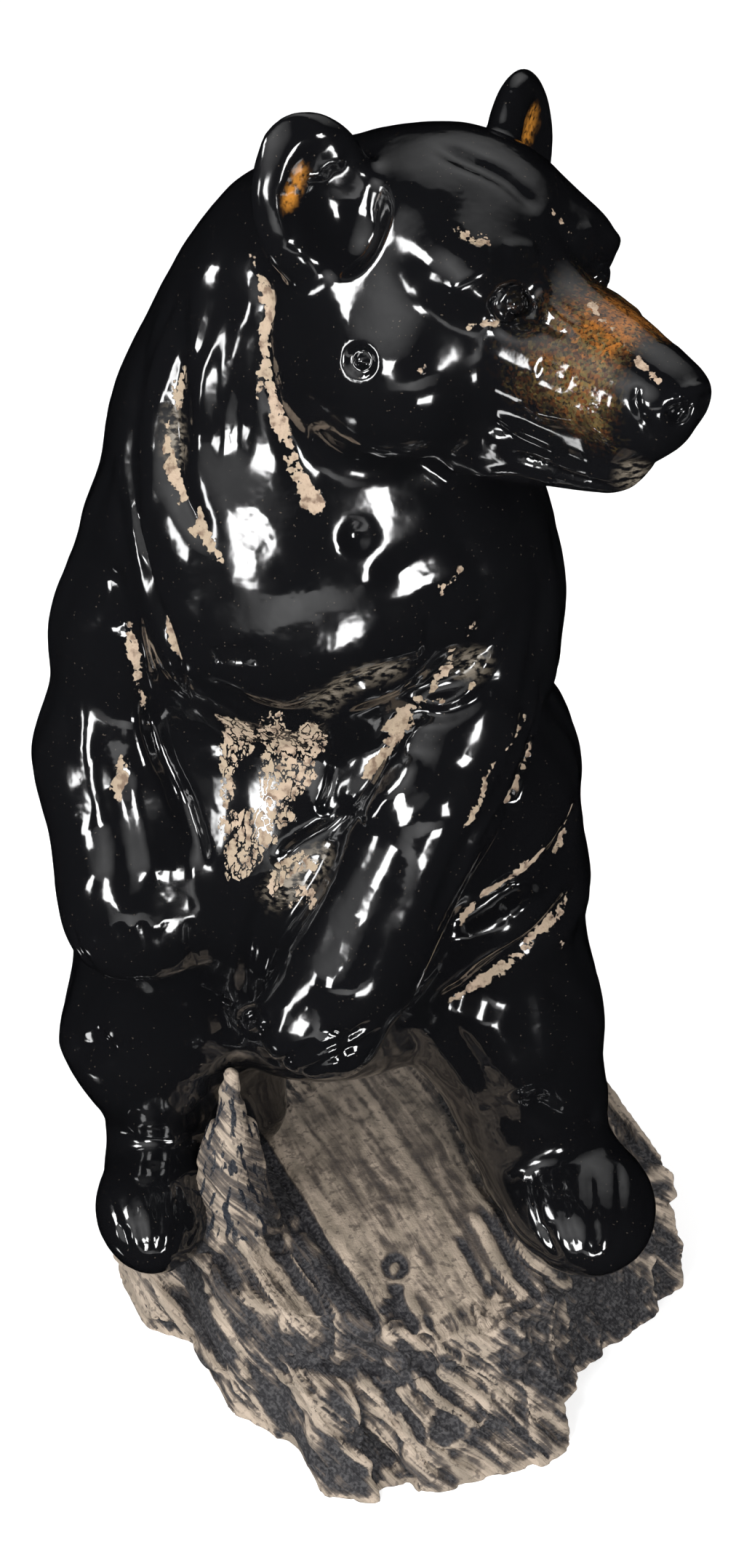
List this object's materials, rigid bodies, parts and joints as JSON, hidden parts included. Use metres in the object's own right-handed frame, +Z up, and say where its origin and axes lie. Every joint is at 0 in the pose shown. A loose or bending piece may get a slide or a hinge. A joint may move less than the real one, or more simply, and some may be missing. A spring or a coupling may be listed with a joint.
{
  "type": "bear figurine",
  "caption": "Glossy black ceramic bear standing upright on a weathered rock of bare clay, arms hanging and head turned to its left, as a hollow studio casting for a shelf or table.",
  "frame": {"origin": "on the table, under the centre of the figure's bounding box", "axes": "-Y is the front, the way the chest faces, +X is the bear's left, towards which its head turns, and +Z is up"},
  "size_m": [0.2117, 0.1886, 0.4325],
  "materials": {
    "black_glaze": "high gloss black glaze, pooled and broken over tan clay",
    "bare_clay": "unglazed tan stoneware with a dark blue-grey wash in the strata"
  },
  "bodies": {
    "root": {"bear_on_rock": "black_glaze"}
  },
  "joints": []
}
